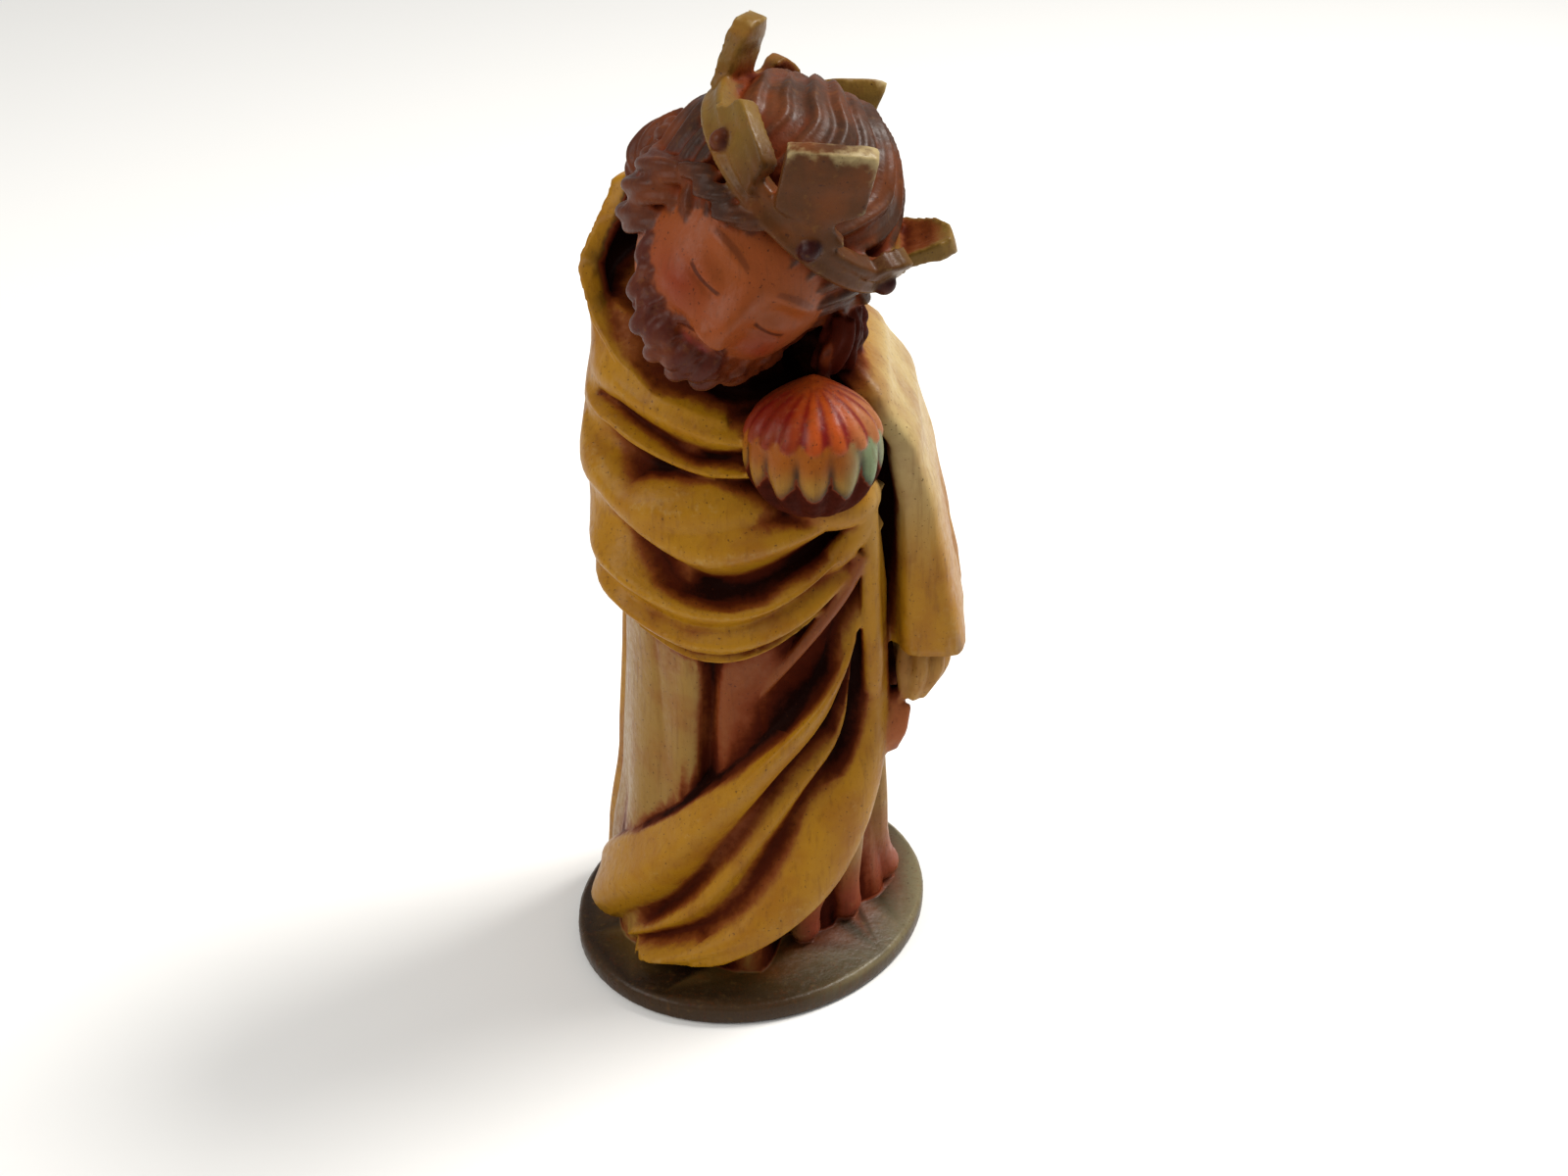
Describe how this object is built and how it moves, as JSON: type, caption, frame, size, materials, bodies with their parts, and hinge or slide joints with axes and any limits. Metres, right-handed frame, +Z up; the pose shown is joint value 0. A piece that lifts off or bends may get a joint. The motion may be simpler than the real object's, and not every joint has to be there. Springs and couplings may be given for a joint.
{
  "type": "nativity wise man figurine",
  "caption": "Carved and painted wooden nativity king with a wide crown, a draped cloak and a shell-lidded gift, bowed over his gift, on a thin oval foot.",
  "frame": {"origin": "on the underside of the foot, near the middle of the figure", "axes": "+Z up the figure, -Y the way he faces, +X his left"},
  "size_m": [0.0499, 0.0481, 0.1256],
  "materials": {
    "painted_wood": "antique gold and glazed colours on carved wood, semi-gloss"
  },
  "bodies": {
    "root": {"wise_man": "painted_wood"}
  },
  "joints": []
}
